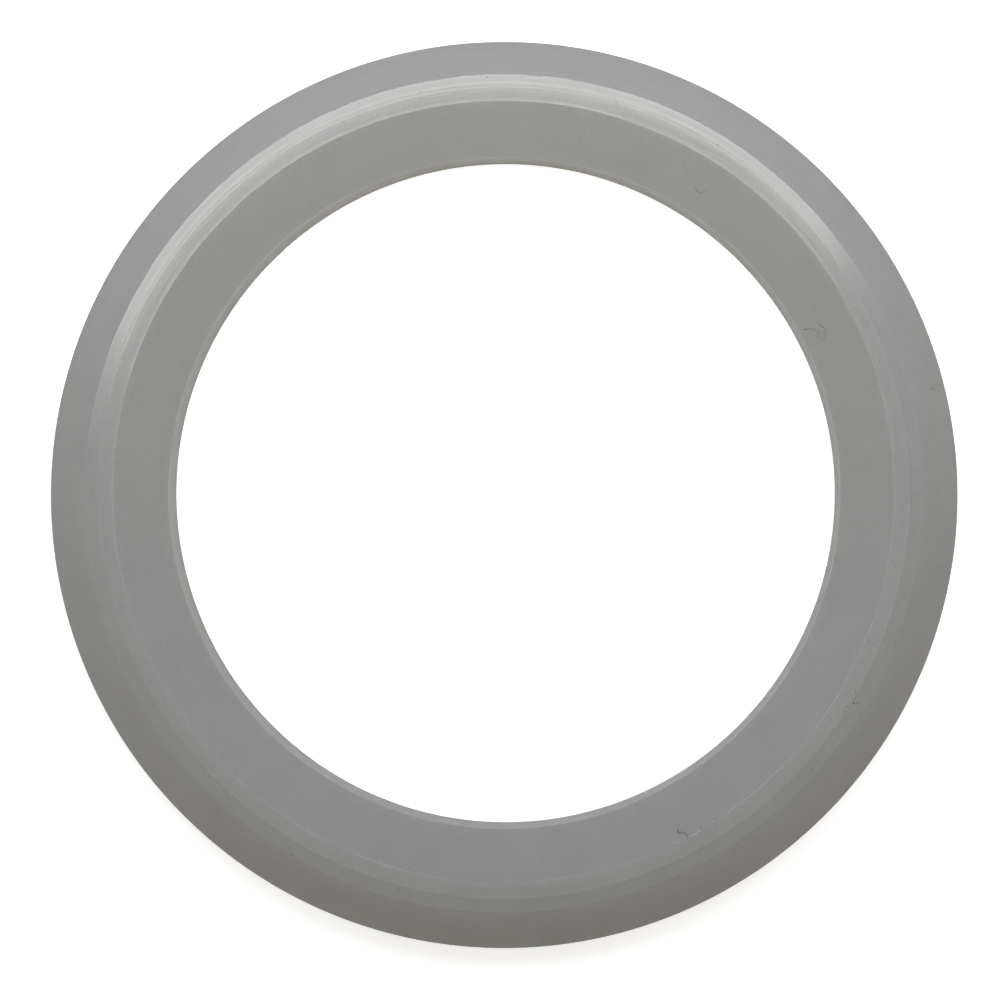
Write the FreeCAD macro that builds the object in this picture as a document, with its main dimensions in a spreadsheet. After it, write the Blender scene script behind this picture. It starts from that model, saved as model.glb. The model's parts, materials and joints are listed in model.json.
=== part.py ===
# V-packing ring, turned in one piece from a white plastic blank.
# The ring lies on its two lips with its crest up: its axis is Z and the lips stand on z = 0.
# Its section, from the outside in: outer land, outer flank, crest with a bevel and a flat,
# inner flank, bore land, inner lip, V groove, outer lip.
import FreeCAD, Part
import math
import os

import Sketcher

NODE = "v_ring"

# Driving dimensions, in millimetres and degrees.
SIZES = {
    "outer_diameter": 60.2,
    "bore_diameter": 44.55,
    "land_height": 3.05,
    "flank_slope": 45.0,
    "crest_flat": 0.98,
    "bevel_width": 0.87,
    "bevel_slope": 19.0,
    "groove_angle": 90.0,
    "lip_flat": 0.45,
    "root_radius": 0.5,
    "edge_break": 0.15,
}

# Ends of a sketch line or arc, and the sketch's own horizontal axis and origin.
START = 1
END = 2
BASE_AXIS = -1
ORIGIN = (-1, 1)

# Two corners this close are the same.
SAME = 1e-4


def add_sheet(doc):
    """A sheet with one row for each driving dimension."""
    sheet = doc.addObject("Spreadsheet::Sheet", "sizes")
    for row, (name, value) in enumerate(SIZES.items(), start=1):
        sheet.set(f"A{row}", name)
        sheet.set(f"B{row}", str(value))
        sheet.setAlias(f"B{row}", name)
    doc.recompute()


def slope(angle):
    """Rise for each millimetre run, at an angle in degrees."""
    return math.tan(math.radians(angle))


def section_corners():
    """Corners of the section as (radius, height), and the centre of the groove root's arc."""
    outer = SIZES["outer_diameter"] / 2
    bore = SIZES["bore_diameter"] / 2
    land = SIZES["land_height"]
    flat = SIZES["crest_flat"]
    bevel = SIZES["bevel_width"]
    lip = SIZES["lip_flat"]
    rise = slope(SIZES["flank_slope"])
    bevel_drop = bevel * slope(SIZES["bevel_slope"])
    middle = (outer + bore) / 2

    # Both flanks rise from lands of one height, and the flat and its bevel cut their ridge off.
    flat_in = middle - (flat + bevel) / 2 + bevel_drop / rise / 2
    flat_out = flat_in + flat
    bevel_foot = flat_out + bevel
    top = land + (flat_in - bore) * rise

    # The groove's two walls would meet half way across the ring; an arc rounds that root.
    half_angle = math.radians(SIZES["groove_angle"] / 2)
    radius = SIZES["root_radius"]
    apex = (middle - bore - lip) / math.tan(half_angle)
    centre = apex - radius / math.sin(half_angle)
    reach = radius * math.cos(half_angle)
    touch = centre + radius * math.sin(half_angle)
    return {
        "outer_foot": (outer, 0),
        "outer_shoulder": (outer, land),
        "bevel_foot": (bevel_foot, top - bevel_drop),
        "flat_out": (flat_out, top),
        "flat_in": (flat_in, top),
        "bore_shoulder": (bore, land),
        "bore_foot": (bore, 0),
        "inner_mouth": (bore + lip, 0),
        "inner_root": (middle - reach, touch),
        "root_centre": (middle, centre),
        "outer_root": (middle + reach, touch),
        "outer_mouth": (outer - lip, 0),
    }


# Every line runs upwards or outwards, so its direction lies between 0 and 180 degrees.
SECTION_LINES = {
    "outer_land": ("outer_foot", "outer_shoulder"),
    "outer_flank": ("outer_shoulder", "bevel_foot"),
    "crest_bevel": ("bevel_foot", "flat_out"),
    "crest_flat": ("flat_in", "flat_out"),
    "inner_flank": ("bore_shoulder", "flat_in"),
    "bore_land": ("bore_foot", "bore_shoulder"),
    "inner_lip": ("bore_foot", "inner_mouth"),
    "inner_groove": ("inner_mouth", "inner_root"),
    "outer_groove": ("outer_mouth", "outer_root"),
    "outer_lip": ("outer_mouth", "outer_foot"),
}


def hold(sketch, name, kind, where, expression):
    """A named constraint that follows the sheet."""
    value = sketch.evalExpression(expression)
    if kind == "Angle":
        value = math.radians(value)
    index = sketch.addConstraint(Sketcher.Constraint(kind, *where, value))
    sketch.renameConstraint(index, name)
    sketch.setExpression(f"Constraints.{name}", expression)


def draw_lines(sketch, corners):
    """The section's straight sides, joined where two of them share a corner."""
    line = {}
    ends_at = {}
    for name, (first, last) in SECTION_LINES.items():
        points = [FreeCAD.Vector(*corners[corner], 0) for corner in (first, last)]
        line[name] = sketch.addGeometry(Part.LineSegment(*points))
        ends_at.setdefault(first, []).append((line[name], START))
        ends_at.setdefault(last, []).append((line[name], END))
    for ends in ends_at.values():
        if len(ends) == 2:
            sketch.addConstraint(Sketcher.Constraint("Coincident", *ends[0], *ends[1]))
    return line


def draw_root(sketch, line, corners):
    """The arc that rounds the groove's root, tangent to both of its walls."""
    half_angle = math.radians(SIZES["groove_angle"] / 2)
    centre = FreeCAD.Vector(*corners["root_centre"], 0)
    circle = Part.Circle(centre, FreeCAD.Vector(0, 0, 1), SIZES["root_radius"])
    arc = sketch.addGeometry(Part.ArcOfCircle(circle, half_angle, math.pi - half_angle))
    sketch.addConstraint(Sketcher.Constraint("Tangent", line["outer_groove"], END, arc, START))
    sketch.addConstraint(Sketcher.Constraint("Tangent", line["inner_groove"], END, arc, END))
    hold(sketch, "root_radius", "Radius", (arc,), "sizes.root_radius")


def draw_section(body, corners):
    """The section on the XZ plane, fully held by the sheet's dimensions."""
    sketch = body.newObject("Sketcher::SketchObject", "section")
    planes = {plane.Role: plane for plane in body.Origin.OriginFeatures}
    sketch.AttachmentSupport = (planes["XZ_Plane"], [""])
    sketch.MapMode = "FlatFace"
    line = draw_lines(sketch, corners)
    draw_root(sketch, line, corners)

    for name in ("outer_land", "bore_land"):
        sketch.addConstraint(Sketcher.Constraint("Vertical", line[name]))
        sketch.addConstraint(Sketcher.Constraint("PointOnObject", line[name], START, BASE_AXIS))
    for name in ("crest_flat", "inner_lip", "outer_lip"):
        sketch.addConstraint(Sketcher.Constraint("Horizontal", line[name]))

    for side, size in (("outer_land", "outer_diameter"), ("bore_land", "bore_diameter")):
        foot = (*ORIGIN, line[side], START)
        hold(sketch, f"{side}_radius", "DistanceX", foot, f"sizes.{size} / 2")
    bevel_run = (line["crest_bevel"], END, line["crest_bevel"], START)
    hold(sketch, "bevel_run", "DistanceX", bevel_run, "sizes.bevel_width")
    for side, size in (
        ("outer_land", "land_height"),
        ("bore_land", "land_height"),
        ("crest_flat", "crest_flat"),
        ("inner_lip", "lip_flat"),
        ("outer_lip", "lip_flat"),
    ):
        hold(sketch, f"{side}_length", "Distance", (line[side],), f"sizes.{size}")
    for side, direction in (
        ("outer_flank", "180 - sizes.flank_slope"),
        ("inner_flank", "sizes.flank_slope"),
        ("crest_bevel", "180 - sizes.bevel_slope"),
        ("inner_groove", "90 - sizes.groove_angle / 2"),
        ("outer_groove", "90 + sizes.groove_angle / 2"),
    ):
        hold(sketch, f"{side}_direction", "Angle", (line[side],), direction)
    return sketch


def turned_edge(shape, corner):
    """Name of the circular edge that a corner of the section sweeps."""
    radius, height = corner
    for number, edge in enumerate(shape.Edges, start=1):
        curve = edge.Curve
        if not isinstance(curve, Part.Circle):
            continue
        if abs(curve.Radius - radius) < SAME and abs(curve.Center.z - height) < SAME:
            return f"Edge{number}"
    raise RuntimeError(f"no turned edge at radius {radius}, height {height}")


def add_ring(doc):
    """The ring: the section turned about its axis, with the outer corners of both lips broken."""
    corners = section_corners()
    body = doc.addObject("PartDesign::Body", NODE)
    body.Label = NODE
    sketch = draw_section(body, corners)
    turned = body.newObject("PartDesign::Revolution", "turned_ring")
    turned.Profile = sketch
    turned.ReferenceAxis = (sketch, ["V_Axis"])
    turned.Angle = 360
    doc.recompute()

    feet = [turned_edge(turned.Shape, corners[name]) for name in ("outer_foot", "bore_foot")]
    broken = body.newObject("PartDesign::Chamfer", "broken_feet")
    broken.Base = (turned, feet)
    broken.setExpression("Size", "sizes.edge_break")
    body.Placement = FreeCAD.Placement()
    return body


def check(doc, bodies):
    """Stops before anything is written if a feature failed or a shape isn't one sound solid."""
    for item in doc.Objects:
        if "Invalid" in item.State or "Error" in item.State:
            raise RuntimeError(f"{item.Name} failed: {item.State}")
    for body in bodies:
        shape = body.Shape
        if shape.isNull() or not shape.isValid() or len(shape.Solids) != 1:
            raise RuntimeError(f"{body.Label} isn't one valid solid")


doc = FreeCAD.newDocument("v_packing_ring")
add_sheet(doc)
bodies = [add_ring(doc)]
doc.recompute()
check(doc, bodies)

os.makedirs("parts", exist_ok=True)
for body in bodies:
    body.Shape.exportStep(f"parts/{body.Label}.step")
    print(f"{body.Label}: volume {body.Shape.Volume:.2f} mm3, area {body.Shape.Area:.2f} mm2")
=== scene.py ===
import json
import math
from collections import namedtuple

import bmesh
import bpy
from mathutils import Matrix, Vector, noise
from mathutils.bvhtree import BVHTree


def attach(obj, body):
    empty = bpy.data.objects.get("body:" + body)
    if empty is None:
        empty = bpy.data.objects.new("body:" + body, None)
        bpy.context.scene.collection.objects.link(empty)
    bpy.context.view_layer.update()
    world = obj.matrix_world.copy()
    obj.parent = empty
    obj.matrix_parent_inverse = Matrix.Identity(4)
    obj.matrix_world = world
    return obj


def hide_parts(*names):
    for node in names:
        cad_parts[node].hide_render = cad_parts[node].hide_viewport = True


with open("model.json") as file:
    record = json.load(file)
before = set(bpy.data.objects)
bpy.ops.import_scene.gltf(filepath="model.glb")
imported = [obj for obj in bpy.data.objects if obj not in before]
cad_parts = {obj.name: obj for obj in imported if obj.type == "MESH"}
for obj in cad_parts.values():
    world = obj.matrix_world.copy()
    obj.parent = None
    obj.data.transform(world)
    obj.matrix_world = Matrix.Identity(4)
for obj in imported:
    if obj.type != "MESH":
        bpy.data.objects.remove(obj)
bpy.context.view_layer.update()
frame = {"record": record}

scene = bpy.context.scene

# The ring
# One piece of white fluoropolymer, bored, faced and grooved on a lathe from a moulded blank.
# Each turned face keeps the tool's feed marks, and both edges of the crest are a little torn.
MM = 0.001
MICRON = 0.001 * MM
mounts = {mount["name"]: mount for mount in frame["record"]["mounts"]}
BORE_RADIUS = mounts["bore"]["dims"]["r_mm"] * MM
OUTSIDE_RADIUS = mounts["outside"]["dims"]["r_mm"] * MM
CREST_HEIGHT = mounts["crest"]["pos_m"][2]
LAND_HEIGHT = 3.05 * MM
CREST_FLAT = 0.98 * MM
BEVEL_WIDTH = 0.87 * MM
BEVEL_SLOPE = math.radians(19)
LIP_FLAT = 0.45 * MM
FOOT_BREAK = 0.15 * MM
ROOT_RADIUS = 0.5 * MM
SPIN_STEPS = 1060

# Closer than this, two points or two ways along the section are the same.
SAME = 1e-7

# The plain crest lies this far down, and its ridges rise from it to the full height.
RIDGE_ROOM = 20 * MICRON
crest_level = CREST_HEIGHT - RIDGE_ROOM
bevel_level = crest_level - BEVEL_WIDTH * math.tan(BEVEL_SLOPE)

middle_radius = (BORE_RADIUS + OUTSIDE_RADIUS) / 2
flat_in = BORE_RADIUS + crest_level - LAND_HEIGHT
flat_out = flat_in + CREST_FLAT
bevel_foot = OUTSIDE_RADIUS - (bevel_level - LAND_HEIGHT)
groove_depth = middle_radius - BORE_RADIUS - LIP_FLAT

# Corners of the section from the crest's inner edge outwards and round to the bore. One without
# rounding stays sharp. Steps are those of the rounding, and cuts divide the face that follows.
Corner = namedtuple("Corner", "name radius height rounding steps cuts")
SECTION = tuple(Corner(*row) for row in (
    ("flat_in", flat_in, crest_level, 0, 0, 20),
    ("flat_out", flat_out, crest_level, 0.03 * MM, 2, 17),
    ("bevel_foot", bevel_foot, bevel_level, 0.02 * MM, 2, 8),
    ("outer_shoulder", OUTSIDE_RADIUS, LAND_HEIGHT, 0.06 * MM, 3, 0),
    ("outer_break", OUTSIDE_RADIUS, FOOT_BREAK, 0, 0, 0),
    ("outer_foot", OUTSIDE_RADIUS - FOOT_BREAK, 0, 0, 0, 0),
    ("outer_mouth", OUTSIDE_RADIUS - LIP_FLAT, 0, 0, 0, 2),
    ("groove_root", middle_radius, groove_depth, ROOT_RADIUS, 5, 2),
    ("inner_mouth", BORE_RADIUS + LIP_FLAT, 0, 0, 0, 0),
    ("inner_foot", BORE_RADIUS + FOOT_BREAK, 0, 0, 0, 0),
    ("bore_break", BORE_RADIUS, FOOT_BREAK, 0, 0, 0),
    ("bore_shoulder", BORE_RADIUS, LAND_HEIGHT, 0.03 * MM, 3, 4),
))
SIDES = tuple(zip(SECTION, SECTION[1:] + SECTION[:1]))

# A face longer than this has rings of points close to its visible edges, which keep its shading even.
LONG_FACE = 1.2 * MM
EDGE_RINGS = (0.08 * MM, 0.02 * MM)

# Every place on the section has a way: how far along the outline it lies from the crest's inner edge.
outline_ways = {}
outline_length = 0.0
for corner, after in SIDES:
    outline_ways[corner.name] = outline_length
    outline_length += math.dist((corner.radius, corner.height), (after.radius, after.height))


def signed_way(way):
    """From the groove's root round to the bore and up, ways are counted back and below nought."""
    return way if way < outline_ways["groove_root"] else way - outline_length


WAYS = {name: signed_way(way) for name, way in outline_ways.items()}
WAY_OUT = WAYS["flat_out"]
WAY_FOOT = WAYS["bevel_foot"]
WAY_SHOULDER = WAYS["outer_shoulder"]
SHARP_WAYS = [WAYS[corner.name] for corner in SECTION if not corner.rounding]

# Ridges that the tool left across the crest, and one groove: way, height and spread.
RIDGES = (
    (-0.03 * MM, 12 * MICRON, 0.13 * MM),
    (0.45 * MM, 8 * MICRON, 0.22 * MM),
    (0.43 * MM, 4 * MICRON, 0.06 * MM),
    (0.68 * MM, 7 * MICRON, 0.06 * MM),
    (0.86 * MM, 3 * MICRON, 0.05 * MM),
    (1.20 * MM, -10 * MICRON, 0.08 * MM),
    (1.40 * MM, 3 * MICRON, 0.06 * MM),
    (1.50 * MM, 2 * MICRON, 0.06 * MM),
    (1.88 * MM, 6 * MICRON, 0.05 * MM),
)

# The ridges end this far past the crest. Round the ring each wanders and swells in its own way, by
# a noise at these rates, and on the bevel they may stand this much higher for each step outwards.
RIDGE_REACH = 0.3 * MM
RIDGE_WANDER = 10 * MICRON
WANDER_RATE = 2.5
RIDGE_APART = 5.0
RIDGE_SWELL = 0.5
SLOW_SWELL = 3
FAST_SWELL = 10
BEVEL_ROOM = 0.3

# The crest's edges are torn a little in and out, the outer one more: way, depth and the noise's
# start. Long tears are this many times as long as the short ones, and this share as deep.
TEARS = (
    (0, 15 * MICRON, 40),
    (WAY_FOOT, 45 * MICRON, 50),
)
TEAR_SPREAD = 0.035 * MM
TEAR_RATE = 90
LONG_TEAR = 3
LONG_TEAR_SHARE = 0.5

# The outer flank is crowned: it stands this far proud half way down.
FLANK_CROWN = 0.13 * MM

# The bore was cut a little off the outside's centre and leans. Its shift across x and y is none at
# the groove's root and at the crest's middle edge, and between them it goes from one to the next.
CREST_SHIFT = (0, 0.065 * MM)
SHOULDER_SHIFT = (0.045 * MM, 0.065 * MM)
FOOT_SHIFT = (0.10 * MM, 0.13 * MM)
SHIFTS = (
    (WAYS["groove_root"], (0, 0)),
    (WAYS["inner_mouth"], FOOT_SHIFT),
    (WAYS["bore_break"], FOOT_SHIFT),
    (WAYS["bore_shoulder"], SHOULDER_SHIFT),
    (WAYS["flat_in"], CREST_SHIFT),
    (WAY_OUT, (0, 0)),
)

# Painted light and shade along the section at ways in mm, multiplied into the plastic's colour: a
# painted glow at the top of the outer flank, painted brown shade on the thin bore land and towards
# the thin outer edge, and painted shade along the crest's inner edge that dims a highlight there.
PAINTED_LIGHT_AND_SHADE = (
    (-4.52, (0.87, 0.845, 0.79)),
    (-4.42, (0.937, 0.937, 0.937)),
    (-2.2, (0.947, 0.947, 0.947)),
    (-0.12, (0.936, 0.936, 0.936)),
    (-0.02, (0.885, 0.885, 0.885)),
    (0.04, (0.885, 0.885, 0.885)),
    (0.14, (0.936, 0.936, 0.936)),
    (1.9, (0.936, 0.936, 0.936)),
    (2.0, (1.0, 1.0, 1.0)),
    (3.9, (0.945, 0.941, 0.930)),
    (5.7, (0.874, 0.863, 0.832)),
)

# The colour ramp for these tones runs from this way below nought to this way above it, in mm.
WAY_SPAN = 10.0

# The plastic's darkest and palest tone, its clouds and grains, and the noise that gives each tone.
DARK_TONE = (0.333, 0.332, 0.329, 1)
PALE_TONE = (0.3815, 0.381, 0.374, 1)
CLOUD_SIZE = 2.5 * MM
CLOUD_SHARE = 0.4
GRAIN_SIZE = 0.09 * MM
DARKEST_NOISE = 0.35
PALEST_NOISE = 1.05

# Fine tool marks: their pitch in mm, how often they change on the way round, and their depth.
MARK_PITCH = 0.045
MARK_CHANGES = 14
MARK_DEPTH = 3 * MICRON

# Roughness across the tool marks: coarse on the crest, finer on the faces round it.
CREST_ROUGHNESS = 0.283
FLANK_ROUGHNESS = 0.17


def corner_place(corner):
    """A corner of the section on the XZ plane."""
    return Vector((corner.radius, 0, corner.height))


def edge_middle(edge):
    """The place half way along an edge."""
    return (edge.verts[0].co + edge.verts[1].co) / 2


def draw_section():
    """The rounded outline of the section as a wire of fine steps on the XZ plane."""
    bm = bmesh.new()
    verts = [bm.verts.new(corner_place(corner)) for corner in SECTION]
    for pair in zip(verts, verts[1:] + verts[:1]):
        bm.edges.new(pair)
    for vert, corner in zip(verts, SECTION):
        if corner.rounding:
            bmesh.ops.bevel(
                bm, geom=[vert], offset=corner.rounding, offset_type="OFFSET", segments=corner.steps,
                profile=0.5, affect="VERTICES", material=-1,
            )
    lines = []
    for first, last in SIDES:
        middle = (corner_place(first) + corner_place(last)) / 2
        lines.append(min(bm.edges, key=lambda edge: (edge_middle(edge) - middle).length))
    for line, (first, last) in zip(lines, SIDES):
        for corner in (first, last):
            visible = corner.name == "flat_in" or 0 < corner.rounding < ROOT_RADIUS
            if visible and line.calc_length() > LONG_FACE:
                place = corner_place(corner)
                vert = min(line.verts, key=lambda vert: (vert.co - place).length)
                outer = bmesh.utils.edge_split(line, vert, EDGE_RINGS[0] / line.calc_length())[0]
                bmesh.utils.edge_split(outer, vert, EDGE_RINGS[1] / EDGE_RINGS[0])
        if first.cuts:
            bmesh.ops.subdivide_edges(bm, edges=[line], cuts=first.cuts)
    return bm


def nearest_way(place):
    """The way of the section's point that is nearest to a place on the XZ plane."""
    nearest = math.inf
    for first, last in SIDES:
        start = corner_place(first)
        side = corner_place(last) - start
        share = min(max((place - start).dot(side) / side.length_squared, 0), 1)
        gap = (start.lerp(corner_place(last), share) - place).length
        if gap < nearest:
            nearest = gap
            way = outline_ways[first.name] + share * side.length
    return signed_way(way)


def bell(way, middle, spread):
    """A smooth hump that is 1 at its middle and almost nothing three spreads away."""
    return math.exp(-0.5 * ((way - middle) / spread) ** 2)


def ridge_height(way, around):
    """How far the ridges rise from the plain crest, at a way and a direction from the axis."""
    height = 0.0
    for number, (middle, tall, spread) in enumerate(RIDGES):
        here = around * WANDER_RATE + Vector((0, 0, RIDGE_APART * number))
        middle += RIDGE_WANDER * noise.noise(here)
        slow = noise.noise(here * SLOW_SWELL)
        fast = noise.noise(here * FAST_SWELL)
        tall *= 1 + RIDGE_SWELL * slow + RIDGE_SWELL * fast
        height += tall * bell(way, middle, spread)
    return min(height, RIDGE_ROOM + BEVEL_ROOM * max(way - WAY_OUT, 0))


def edge_tear(way, around):
    """How far the crest's inner or outer edge is torn outwards, at a way and a direction."""
    shift = 0.0
    for edge, depth, noise_start in TEARS:
        place = around * TEAR_RATE + Vector((0, 0, noise_start))
        ragged = noise.noise(place) + LONG_TEAR_SHARE * noise.noise(place / LONG_TEAR)
        shift += depth * ragged * bell(way, edge, TEAR_SPREAD)
    return shift


def bore_shift(way):
    """The bore's shift across at a way: none from the crest's middle edge out to the groove's root."""
    for (start, first), (end, last) in zip(SHIFTS, SHIFTS[1:]):
        if start <= way <= end:
            share = (way - start) / (end - start)
            return Vector((*first, 0)).lerp(Vector((*last, 0)), share)
    return Vector((0, 0, 0))


def turn_ring():
    """The section turned about the axis, with its ridges, tears and crown, and the bore shifted."""
    bm = draw_section()
    way_layer = bm.verts.layers.float.new("way")
    lathe = bm.verts.layers.float_vector.new("lathe")
    for vert in bm.verts:
        vert[way_layer] = nearest_way(vert.co)
    bmesh.ops.spin(
        bm, geom=bm.verts[:] + bm.edges[:], cent=(0, 0, 0), axis=(0, 0, 1),
        angle=2 * math.pi, steps=SPIN_STEPS, use_merge=True,
    )
    bmesh.ops.remove_doubles(bm, verts=bm.verts[:], dist=SAME)
    bmesh.ops.recalc_face_normals(bm, faces=bm.faces[:])
    bm.normal_update()

    # Only edges that run round the ring at a sharp corner are sharp.
    for edge in bm.edges:
        here, there = [vert[way_layer] for vert in edge.verts]
        along_section = abs(here - there) > SAME
        edge.smooth = along_section or min(abs(here - sharp) for sharp in SHARP_WAYS) > SAME

    for vert in bm.verts:
        way = vert[way_layer]
        around = Vector((vert.co.x, vert.co.y, 0)).normalized()
        vert[lathe] = (way / MM, around.x, around.y)
        if -RIDGE_REACH < way < WAY_FOOT + RIDGE_REACH:
            # The crest's inner edge rises along the inner flank, and the flank itself has no ridges.
            rise = vert.normal if way > SAME else Vector((around.x, around.y, 1))
            tall = ridge_height(way, around) if way > -SAME else 0
            vert.co += rise * tall + around * edge_tear(way, around)
        if WAY_FOOT < way < WAY_SHOULDER:
            # The crown is full half way down, where share * (1 - share) is a quarter.
            share = (way - WAY_FOOT) / (WAY_SHOULDER - WAY_FOOT)
            vert.co += vert.normal * 4 * FLANK_CROWN * share * (1 - share)
        vert.co += bore_shift(way)
    bm.normal_update()
    return bm


def new_material(name):
    """A material, and the nodes and links of its tree."""
    material = bpy.data.materials.new(name)
    material.use_nodes = True
    return material, material.node_tree.nodes, material.node_tree.links


def noise_node(nodes, links, place, scale, detail):
    """A smooth noise from 0 to 1."""
    texture = nodes.new("ShaderNodeTexNoise")
    texture.inputs["Scale"].default_value = scale
    texture.inputs["Detail"].default_value = detail
    links.new(place, texture.inputs["Vector"])
    return texture.outputs["Fac"]


def two_tones(nodes, links, share, first, last):
    """A colour between two, by a share that changes from place to place."""
    tones = nodes.new("ShaderNodeMix")
    tones.data_type = "RGBA"
    tones.inputs["A"].default_value = first
    tones.inputs["B"].default_value = last
    links.new(share, tones.inputs["Factor"])
    return tones.outputs["Result"]


def painted_light_and_shade_ramp(nodes, links, way):
    """Painted light and shade as a colour that follows the way along the section, through its stops.
    """
    span = nodes.new("ShaderNodeMapRange")
    span.inputs["From Min"].default_value = -WAY_SPAN
    span.inputs["From Max"].default_value = WAY_SPAN
    links.new(way, span.inputs["Value"])
    ramp = nodes.new("ShaderNodeValToRGB")
    links.new(span.outputs["Result"], ramp.inputs["Fac"])
    stops = ramp.color_ramp.elements
    while len(stops) < len(PAINTED_LIGHT_AND_SHADE):
        stops.new(0.5)
    for stop, (at, colour) in zip(stops, PAINTED_LIGHT_AND_SHADE):
        stop.position = 0.5 + at / WAY_SPAN / 2
        stop.color = (*colour, 1)
    return ramp.outputs["Color"]


def plastic_material():
    """Grey-white plastic: faintly cloudy, with fine marks round the axis that spread its sheen."""
    material, nodes, links = new_material("white_plastic")
    shader = nodes["Principled BSDF"]
    lathe = nodes.new("ShaderNodeAttribute")
    lathe.attribute_name = "lathe"
    axes = nodes.new("ShaderNodeSeparateXYZ")
    links.new(lathe.outputs["Vector"], axes.inputs["Vector"])
    way = axes.outputs["X"]

    # This is 1 where the way is within half a crest of the crest's middle, and 0 elsewhere.
    crest = nodes.new("ShaderNodeMath")
    crest.operation = "COMPARE"
    links.new(way, crest.inputs[0])
    crest.inputs[1].default_value = WAY_FOOT / MM / 2
    crest.inputs[2].default_value = WAY_FOOT / MM / 2
    roughness = nodes.new("ShaderNodeMapRange")
    roughness.inputs["To Min"].default_value = FLANK_ROUGHNESS
    roughness.inputs["To Max"].default_value = CREST_ROUGHNESS
    links.new(crest.outputs["Value"], roughness.inputs["Value"])
    links.new(roughness.outputs["Result"], shader.inputs["Roughness"])

    place = nodes.new("ShaderNodeTexCoord").outputs["Object"]
    cloud = noise_node(nodes, links, place, 1 / CLOUD_SIZE, detail=2)
    grain = noise_node(nodes, links, place, 1 / GRAIN_SIZE, detail=0)
    both = nodes.new("ShaderNodeMath")
    both.operation = "MULTIPLY_ADD"
    links.new(cloud, both.inputs[0])
    both.inputs[1].default_value = CLOUD_SHARE
    links.new(grain, both.inputs[2])
    share = nodes.new("ShaderNodeMapRange")
    share.inputs["From Min"].default_value = DARKEST_NOISE
    share.inputs["From Max"].default_value = PALEST_NOISE
    links.new(both.outputs["Value"], share.inputs["Value"])
    # This mix multiplies the plastic's tones by the painted light and shade along the section.
    depth = nodes.new("ShaderNodeMix")
    depth.data_type = "RGBA"
    depth.blend_type = "MULTIPLY"
    depth.inputs["Factor"].default_value = 1
    tones = two_tones(nodes, links, share.outputs["Result"], DARK_TONE, PALE_TONE)
    links.new(tones, depth.inputs["A"])
    links.new(painted_light_and_shade_ramp(nodes, links, way), depth.inputs["B"])
    links.new(depth.outputs["Result"], shader.inputs["Base Color"])

    stretch = nodes.new("ShaderNodeMapping")
    stretch.inputs["Scale"].default_value = (1 / MARK_PITCH, MARK_CHANGES, MARK_CHANGES)
    links.new(lathe.outputs["Vector"], stretch.inputs["Vector"])
    marks = noise_node(nodes, links, stretch.outputs["Vector"], 1, detail=2)
    bump = nodes.new("ShaderNodeBump")
    bump.inputs["Distance"].default_value = MARK_DEPTH
    links.new(marks, bump.inputs["Height"])
    links.new(bump.outputs["Normal"], shader.inputs["Normal"])

    # The marks run round the axis, so the sheen spreads across them.
    tangent = nodes.new("ShaderNodeTangent")
    tangent.direction_type = "RADIAL"
    tangent.axis = "Z"
    links.new(tangent.outputs["Tangent"], shader.inputs["Tangent"])
    shader.inputs["Specular IOR Level"].default_value = 0.5
    shader.inputs["Anisotropic"].default_value = 0.933
    shader.inputs["Anisotropic Rotation"].default_value = 0.25
    shader.inputs["Subsurface Weight"].default_value = 1
    shader.inputs["Subsurface Radius"].default_value = (1, 1, 1)
    shader.inputs["Subsurface Scale"].default_value = 1.2 * MM
    return material


def add_object(name, bm, material):
    """An object at the origin from a finished mesh, smooth except at its sharp edges."""
    mesh = bpy.data.meshes.new(name)
    bm.to_mesh(mesh)
    bm.free()
    for face in mesh.polygons:
        face.use_smooth = True
    mesh.materials.append(material)
    item = bpy.data.objects.new(name, mesh)
    scene.collection.objects.link(item)
    return item


ring_bm = turn_ring()
ring_tree = BVHTree.FromBMesh(ring_bm)
ring = add_object("turned_ring", ring_bm, plastic_material())
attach(ring, "root")
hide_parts("v_ring")

# Lint and dirt
# Loose dark textile fibres and specks of workshop dirt that lie on the turned faces, and a few
# flakes of the plastic that the tool tore up by the crest's edges and left there.

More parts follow.
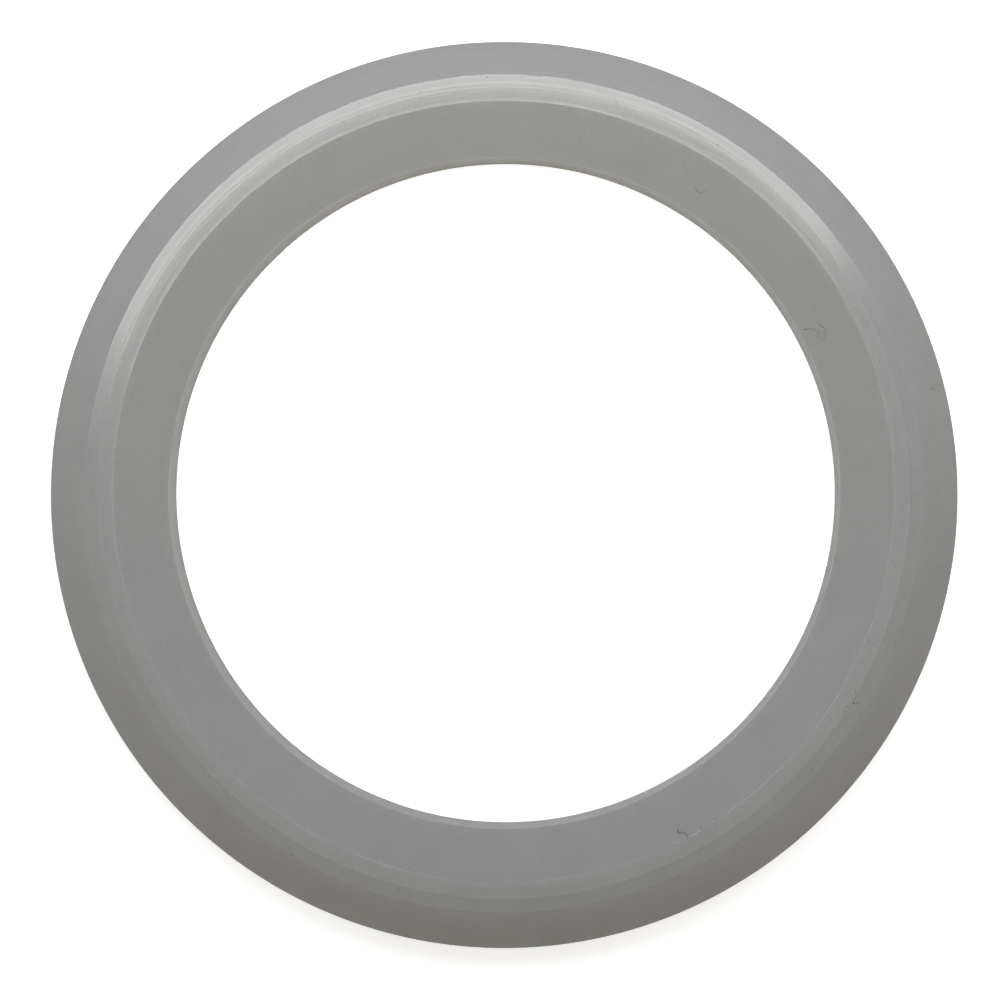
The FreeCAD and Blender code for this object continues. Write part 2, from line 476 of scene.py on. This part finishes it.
# A fibre or a flake is a bent path of azimuth in degrees, radius in mm and half thickness in
# micrometres.
FIBRES = (
    (
        (297.35, 24.75, 20), (297.14, 24.83, 28), (297.21, 24.94, 25), (297.49, 24.98, 18),
        (297.76, 24.99, 18), (297.98, 25.07, 17), (298.09, 25.18, 18), (298.11, 25.31, 26),
        (298.00, 25.47, 10),
    ),
    (
        (57.97, 23.80, 5), (57.69, 23.73, 8), (57.33, 23.66, 10), (56.85, 23.61, 9),
        (56.46, 23.60, 9), (56.39, 23.67, 13), (56.32, 23.75, 11), (56.06, 23.83, 8),
        (55.90, 23.85, 6),
    ),
    (
        (28.42, 22.65, 14), (28.33, 22.72, 30), (28.13, 22.87, 11), (27.92, 23.02, 9),
        (27.66, 23.14, 9), (27.27, 23.23, 10), (26.85, 23.26, 6), (26.41, 23.25, 6),
        (25.90, 23.23, 7), (25.56, 23.28, 8), (25.40, 23.37, 8), (25.50, 23.50, 9),
        (25.89, 23.60, 8), (26.21, 23.69, 8), (26.59, 23.73, 9), (27.01, 23.69, 9),
        (27.43, 23.63, 17), (27.84, 23.56, 11), (28.28, 23.51, 5), (28.54, 23.50, 4),
    ),
    (
        (326.88, 26.30, 9), (327.06, 26.22, 11), (327.39, 26.20, 9), (327.75, 26.21, 9),
        (327.96, 26.26, 10), (328.00, 26.33, 10), (327.86, 26.40, 9), (327.71, 26.45, 8),
    ),
    (
        (74.10, 26.48, 6), (73.78, 26.43, 6), (73.54, 26.35, 6), (73.60, 26.22, 5),
        (73.73, 26.06, 4),
    ),
    ((327.29, 25.02, 4), (327.15, 25.20, 6), (327.01, 25.36, 5)),
    ((317.90, 26.86, 9), (317.78, 27.10, 9)),
    ((13.55, 28.93, 14), (13.46, 29.03, 32), (13.40, 29.12, 14)),
)
FLAKES = (
    (
        (298.42, 25.385, 20), (298.8, 25.40, 42), (299.4, 25.405, 46), (299.9, 25.40, 36),
        (300.24, 25.39, 16),
    ),
    ((296.10, 25.34, 10), (296.40, 25.39, 22), (296.70, 25.42, 10)),
    ((264.16, 27.20, 14), (264.25, 27.21, 40), (264.34, 27.20, 14)),
)

# Specks: azimuth in degrees, radius in mm and half width in micrometres.
SPECKS = (
    (300.34, 25.31, 36), (302.87, 25.29, 42), (330.14, 26.31, 48), (329.58, 26.45, 40),
    (328.76, 26.53, 64), (329.03, 26.78, 42), (327.00, 25.30, 24), (330.43, 29.23, 18),
    (76.52, 26.95, 28), (92.19, 27.10, 46), (85.01, 27.18, 28), (87.28, 27.03, 28),
    (85.38, 26.92, 22), (79.90, 27.07, 33), (101.72, 26.66, 44), (58.11, 26.52, 48),
    (52.83, 27.06, 22), (174.34, 27.10, 36), (175.71, 25.21, 28), (207.72, 25.80, 26),
    (240.00, 27.25, 50), (236.90, 25.57, 28), (255.36, 26.67, 46), (259.68, 27.04, 30),
)

# A thing's centre lies this share of its half thickness above the face, so that it beds in a little.
BEDDING = 0.8
THREAD_SIDES = 8

# A speck's length, width and thickness against its half width, the half thickness that it is laid
# by, and how uneven it is.
SPECK_SHAPE = (1, 0.8, 0.4)
SPECK_LAID = 0.5
SPECK_UNEVEN = 0.4

# The size of the patches between a debris material's two tones, and the tones of lint and of torn
# plastic.
PATCH_SIZE = 0.15 * MM
LINT_TONES = ((0.045, 0.043, 0.04, 1), (0.10, 0.096, 0.088, 1))
TORN_TONES = ((0.55, 0.54, 0.525, 1), (0.70, 0.69, 0.67, 1))


def laid_place(azimuth, radius, half):
    """Centre of a thing of this half thickness that lies on the ring, and the face's direction."""
    turn = math.radians(azimuth)
    above = Vector((radius * MM * math.cos(turn), radius * MM * math.sin(turn), 2 * CREST_HEIGHT))
    place, normal, _face, _gap = ring_tree.ray_cast(above, Vector((0, 0, -1)))
    place += BEDDING * half * normal
    # Nothing stands above the ring's full height.
    place.z = min(place.z, CREST_HEIGHT - half - MICRON)
    return place, normal


def lay_thread(bm, path):
    """A round thread drawn along a path from a small disc, as thick at each point as the path says."""
    halves = [half for _azimuth, _radius, half in path]
    places = [laid_place(azimuth, radius, half * MICRON)[0] for azimuth, radius, half in path]
    steps = [(there - here).normalized() for here, there in zip(places, places[1:])]
    heading = steps[0]
    disc = bmesh.ops.create_circle(
        bm, cap_ends=True, radius=halves[0] * MICRON, segments=THREAD_SIDES,
        matrix=Matrix.Translation(places[0]) @ heading.to_track_quat("Z", "Y").to_matrix().to_4x4(),
    )
    face = disc["verts"][0].link_faces[0]
    for number in range(1, len(places)):
        grown = bmesh.ops.extrude_face_region(bm, geom=[face])["geom"]
        # The first disc stays as the thread's closed end, and the later ones would lie inside it.
        if number > 1:
            bmesh.ops.delete(bm, geom=[face], context="FACES_ONLY")
        face = next(item for item in grown if isinstance(item, bmesh.types.BMFace))
        verts = face.verts[:]
        ahead = (steps[number - 1] + steps[min(number, len(steps) - 1)]).normalized()
        bmesh.ops.translate(bm, verts=verts, vec=places[number] - places[number - 1])
        turn = heading.rotation_difference(ahead).to_matrix()
        bmesh.ops.rotate(bm, verts=verts, cent=places[number], matrix=turn)
        growth = halves[number] / halves[number - 1]
        bmesh.ops.scale(
            bm, verts=verts, vec=(growth, growth, growth), space=Matrix.Translation(-places[number]),
        )
        heading = ahead


def lay_speck(bm, azimuth, radius, half):
    """An uneven flat crumb on the ring's face. Its place also sets its unevenness and its turn."""
    size = half * MICRON
    place, normal = laid_place(azimuth, radius, SPECK_LAID * size)
    verts = bmesh.ops.create_icosphere(bm, subdivisions=2, radius=size)["verts"]
    for vert in verts:
        lump = noise.noise(vert.co / size + Vector((azimuth, radius, 0)))
        vert.co *= 1 + SPECK_UNEVEN * lump
    bmesh.ops.scale(bm, verts=verts, vec=SPECK_SHAPE)
    for turn in (Matrix.Rotation(azimuth, 3, "Z"), normal.to_track_quat("Z", "Y").to_matrix()):
        bmesh.ops.rotate(bm, verts=verts, cent=(0, 0, 0), matrix=turn)
    bmesh.ops.translate(bm, verts=verts, vec=place)


def debris_material(name, dark, pale):
    """A dull surface that varies between two tones from patch to patch."""
    material, nodes, links = new_material(name)
    shader = nodes["Principled BSDF"]
    place = nodes.new("ShaderNodeTexCoord").outputs["Object"]
    patches = noise_node(nodes, links, place, 1 / PATCH_SIZE, detail=2)
    links.new(two_tones(nodes, links, patches, dark, pale), shader.inputs["Base Color"])
    shader.inputs["Roughness"].default_value = 0.8
    return material


def add_debris(name, bm, material):
    """One piece from its mesh, which rides on the ring."""
    bmesh.ops.recalc_face_normals(bm, faces=bm.faces[:])
    piece = add_object(name, bm, material)
    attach(piece, "root")


lint_material = debris_material("lint", *LINT_TONES)
fibre_bm = bmesh.new()
for path in FIBRES:
    lay_thread(fibre_bm, path)
add_debris("lint_fibres", fibre_bm, lint_material)
speck_bm = bmesh.new()
for azimuth, radius, half in SPECKS:
    lay_speck(speck_bm, azimuth, radius, half)
add_debris("lint_specks", speck_bm, lint_material)
flake_bm = bmesh.new()
for path in FLAKES:
    lay_thread(flake_bm, path)
torn_material = debris_material("torn_plastic", *TORN_TONES)
add_debris("torn_flakes", flake_bm, torn_material)

# Floor, light and camera
# A plain white table under the ring in a plain pale room, with a bow of soft panels behind the ring,
# two small lamps over it and a camera above.
FLOOR_SIZE = 1.6
FLOOR_DROP = 0.01 * MM
FLOOR_COLOUR = (0.85, 0.85, 0.85, 1)

# The camera sees the floor this much brighter than its light makes it.
FLOOR_GLOW = 0.6


def floor_material():
    """A matt white, with a glow that only the camera sees."""
    material, nodes, links = new_material("floor")
    nodes.clear()
    output = nodes.new("ShaderNodeOutputMaterial")
    diffuse = nodes.new("ShaderNodeBsdfDiffuse")
    diffuse.inputs["Color"].default_value = FLOOR_COLOUR
    glow = nodes.new("ShaderNodeEmission")
    path = nodes.new("ShaderNodeLightPath")
    seen = nodes.new("ShaderNodeMath")
    seen.operation = "MULTIPLY"
    seen.inputs[1].default_value = FLOOR_GLOW
    both = nodes.new("ShaderNodeAddShader")
    links.new(path.outputs["Is Camera Ray"], seen.inputs[0])
    links.new(seen.outputs["Value"], glow.inputs["Strength"])
    links.new(diffuse.outputs["BSDF"], both.inputs[0])
    links.new(glow.outputs["Emission"], both.inputs[1])
    links.new(both.outputs["Shader"], output.inputs["Surface"])
    return material


floor_bm = bmesh.new()
bmesh.ops.create_grid(floor_bm, x_segments=1, y_segments=1, size=FLOOR_SIZE / 2)
bmesh.ops.translate(floor_bm, verts=floor_bm.verts[:], vec=(0, 0, -FLOOR_DROP))
floor = add_object("floor", floor_bm, floor_material())

BACK_LIGHT = (0.16, 0.16, 0.16, 1)
FRONT_LIGHT = (0.546, 0.520, 0.458, 1)


def world_light(nodes, links):
    """A plain room, a little brighter and warmer in front, which the camera sees as white."""
    place = nodes.new("ShaderNodeTexCoord")
    axes = nodes.new("ShaderNodeSeparateXYZ")
    links.new(place.outputs["Generated"], axes.inputs["Vector"])
    front = nodes.new("ShaderNodeMapRange")
    front.inputs["From Min"].default_value = 1
    front.inputs["From Max"].default_value = -1
    links.new(axes.outputs["Y"], front.inputs["Value"])
    light = two_tones(nodes, links, front.outputs["Result"], BACK_LIGHT, FRONT_LIGHT)
    path = nodes.new("ShaderNodeLightPath")
    seen = nodes.new("ShaderNodeMix")
    seen.data_type = "RGBA"
    seen.inputs["B"].default_value = (1, 1, 1, 1)
    links.new(path.outputs["Is Camera Ray"], seen.inputs["Factor"])
    links.new(light, seen.inputs["A"])
    links.new(seen.outputs["Result"], nodes["Background"].inputs["Color"])


world = bpy.data.worlds.new("studio")
world.use_nodes = True
scene.world = world
world_light(world.node_tree.nodes, world.node_tree.links)

# Panels that only the sheen mirrors: first and last azimuth in degrees, and power. All stand this
# far from the ring, at this angle from straight up, and are this deep.
PANELS = (
    ("right_panel", 37.5, 80, 2.03),
    ("back_panel", 80, 122.5, 2.08),
    ("left_panel", 122.5, 158, 1.68),
    ("end_panel", 158, 168, 0.096),
)
PANEL_REACH = 0.5
PANEL_ZENITH = math.radians(40)
PANEL_DEPTH = 0.175
PANEL_COLOUR = (1, 0.975, 0.935)

# Lamps that the sheen doesn't mirror: place, target, size, power and colour.
LAMPS = (
    ("near_lamp", (0, 0.05, 0.10), (0, 0.05, 0), (0.18, 0.08), 0.1304, (0.885, 0.91, 0.985)),
    ("inner_lamp", (0, 0.015, 0.03), (0, 0.018, 0), (0.044, 0.02), 0.00172, (0.99, 1, 0.84)),
)


def add_lamp(name, place, target, size, power, colour):
    """A soft rectangular lamp that faces a target."""
    data = bpy.data.lights.new(name, "AREA")
    data.shape = "RECTANGLE"
    data.size, data.size_y = size
    data.energy = power
    data.color = colour
    lamp = bpy.data.objects.new(name, data)
    lamp.location = place
    lamp.rotation_mode = "QUATERNION"
    lamp.rotation_quaternion = (Vector(target) - Vector(place)).to_track_quat("-Z", "Y")
    lamp.visible_camera = False
    scene.collection.objects.link(lamp)
    return lamp


out = PANEL_REACH * math.sin(PANEL_ZENITH)
up = PANEL_REACH * math.cos(PANEL_ZENITH)
for name, start, end, power in PANELS:
    turn = math.radians(start + end) / 2
    place = (out * math.cos(turn), out * math.sin(turn), up)
    width = 2 * out * math.tan(math.radians(end - start) / 2)
    panel = add_lamp(name, place, (0, 0, 0), (width, PANEL_DEPTH), power, PANEL_COLOUR)
    panel.visible_diffuse = False
for lamp_values in LAMPS:
    lamp = add_lamp(*lamp_values)
    lamp.visible_glossy = False

camera_data = bpy.data.cameras.new("camera")
camera_data.sensor_width = 36
camera_data.lens = 78.50
camera_data.clip_start = 0.01
camera_data.clip_end = 5
camera = bpy.data.objects.new("camera", camera_data)
camera.location = (1.204 * MM, -4.660 * MM, 147.667 * MM)
camera.rotation_euler = (0.028667, 0.009817, 0)
scene.collection.objects.link(camera)
scene.camera = camera
scene.view_settings.view_transform = "Standard"
